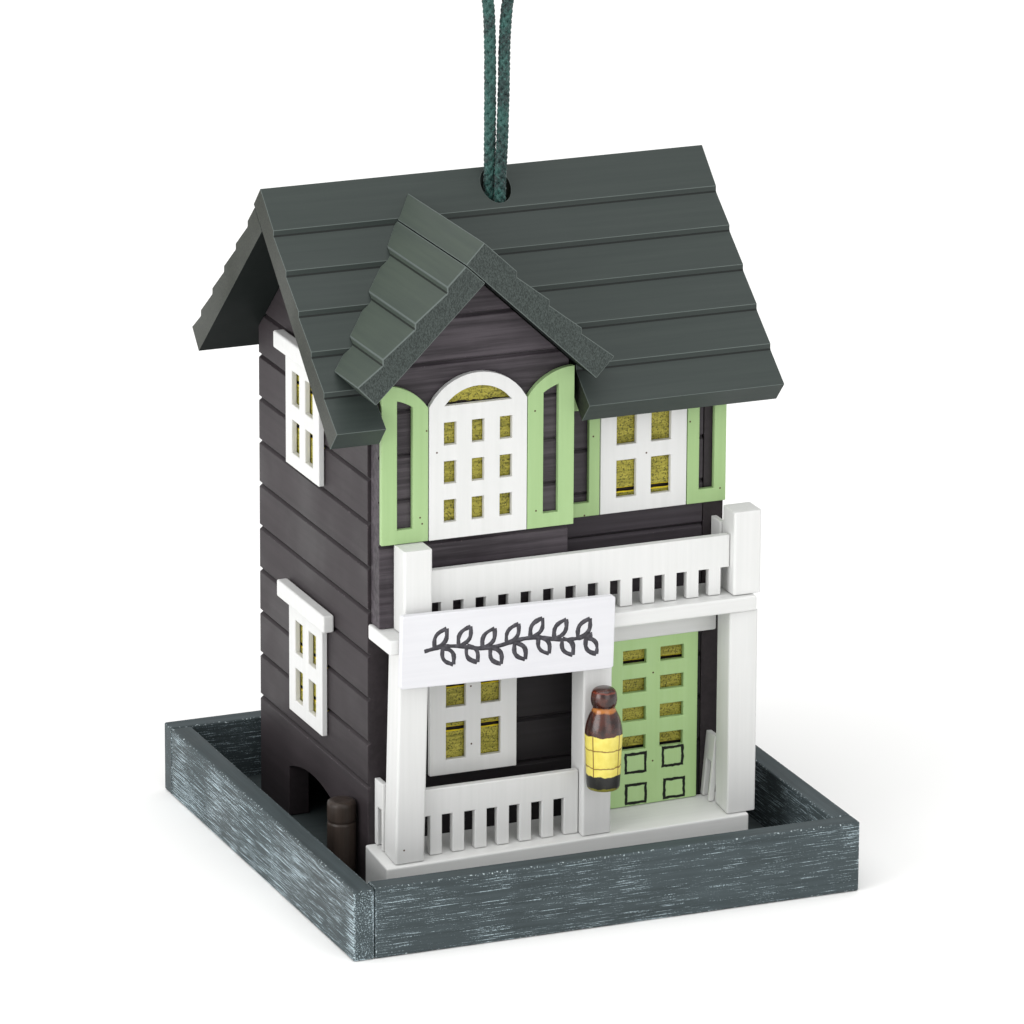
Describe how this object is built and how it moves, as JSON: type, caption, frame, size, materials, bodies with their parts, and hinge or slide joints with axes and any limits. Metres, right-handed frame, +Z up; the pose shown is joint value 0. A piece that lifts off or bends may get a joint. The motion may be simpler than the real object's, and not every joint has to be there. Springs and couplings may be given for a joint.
{
  "type": "hanging house-shaped bird feeder",
  "caption": "Hanging wooden bird feeder shaped like a gabled two-storey house with a porch, balcony and dormer, standing in a square seed tray, with a roof that lifts on its rope.",
  "frame": {"origin": "middle of the tray's flat underside", "axes": "+Z up along the hanging rope, -Y is the front with the porch and the dormer, +X to the right of someone facing the front"},
  "size_m": [0.2, 0.2, 0.3646],
  "materials": {
    "roof_paint": "satin dark grey-green paint on grooved board, rubbed at the edges",
    "dormer_paint": "satin grey-green paint",
    "wall_stain": "matt dark brown-violet stain with the grain showing",
    "white_paint": "satin white paint",
    "pale_green_paint": "satin pale green paint",
    "green_paint": "satin green paint",
    "door_paint": "satin leaf green paint",
    "tray_paint": "satin slate grey paint, scuffed",
    "bare_wood": "bare sawn softwood",
    "dark_wood": "glossy dark brown paint",
    "lantern_paint": "glossy brown, black and yellow paint",
    "rope_fibre": "braided cord"
  },
  "bodies": {
    "house": {"balcony_floor": "white_paint", "balcony_post_left": "white_paint", "balcony_post_right": "white_paint", "balcony_railing_front": "white_paint", "balcony_railing_right": "white_paint", "barrel": "dark_wood", "bay_front": "wall_stain", "door": "door_paint", "door_header": "white_paint", "hanging_rope": "rope_fibre", "lantern": "lantern_paint", "lintel_left_lower": "white_paint", "lintel_left_upper": "white_paint", "lintel_right_lower": "white_paint", "lintel_right_upper": "white_paint", "porch_base": "white_paint", "porch_post_left": "white_paint", "porch_post_middle": "white_paint", "porch_post_right": "white_paint", "porch_railing_front": "white_paint", "porch_railing_left": "white_paint", "porch_railing_right": "white_paint", "rope_bar": "bare_wood", "rope_knot_left": "rope_fibre", "rope_knot_right": "rope_fibre", "shutter_bay_left": "pale_green_paint", "shutter_bay_right": "pale_green_paint", "shutter_upper_left": "green_paint", "shutter_upper_right": "green_paint", "sign_board": "white_paint", "tray_board_back": "tray_paint", "tray_board_front": "tray_paint", "tray_board_left": "tray_paint", "tray_board_right": "tray_paint", "tray_floor": "tray_paint", "wall_back": "wall_stain", "wall_front": "wall_stain", "wall_left": "wall_stain", "wall_right": "wall_stain", "window_arched": "white_paint", "window_left_lower": "white_paint", "window_left_upper": "white_paint", "window_porch": "white_paint", "window_right_lower": "white_paint", "window_right_upper": "white_paint", "window_upper_right": "white_paint"},
    "roof": {"roof_front": "roof_paint", "roof_back": "roof_paint", "dormer_left": "dormer_paint", "dormer_right": "dormer_paint"}
  },
  "joints": [
    {"name": "roof_lift", "type": "slide", "parent": "house", "child": "roof", "axis": [0, 0, 1], "range_m": [0, 0.05]}
  ]
}
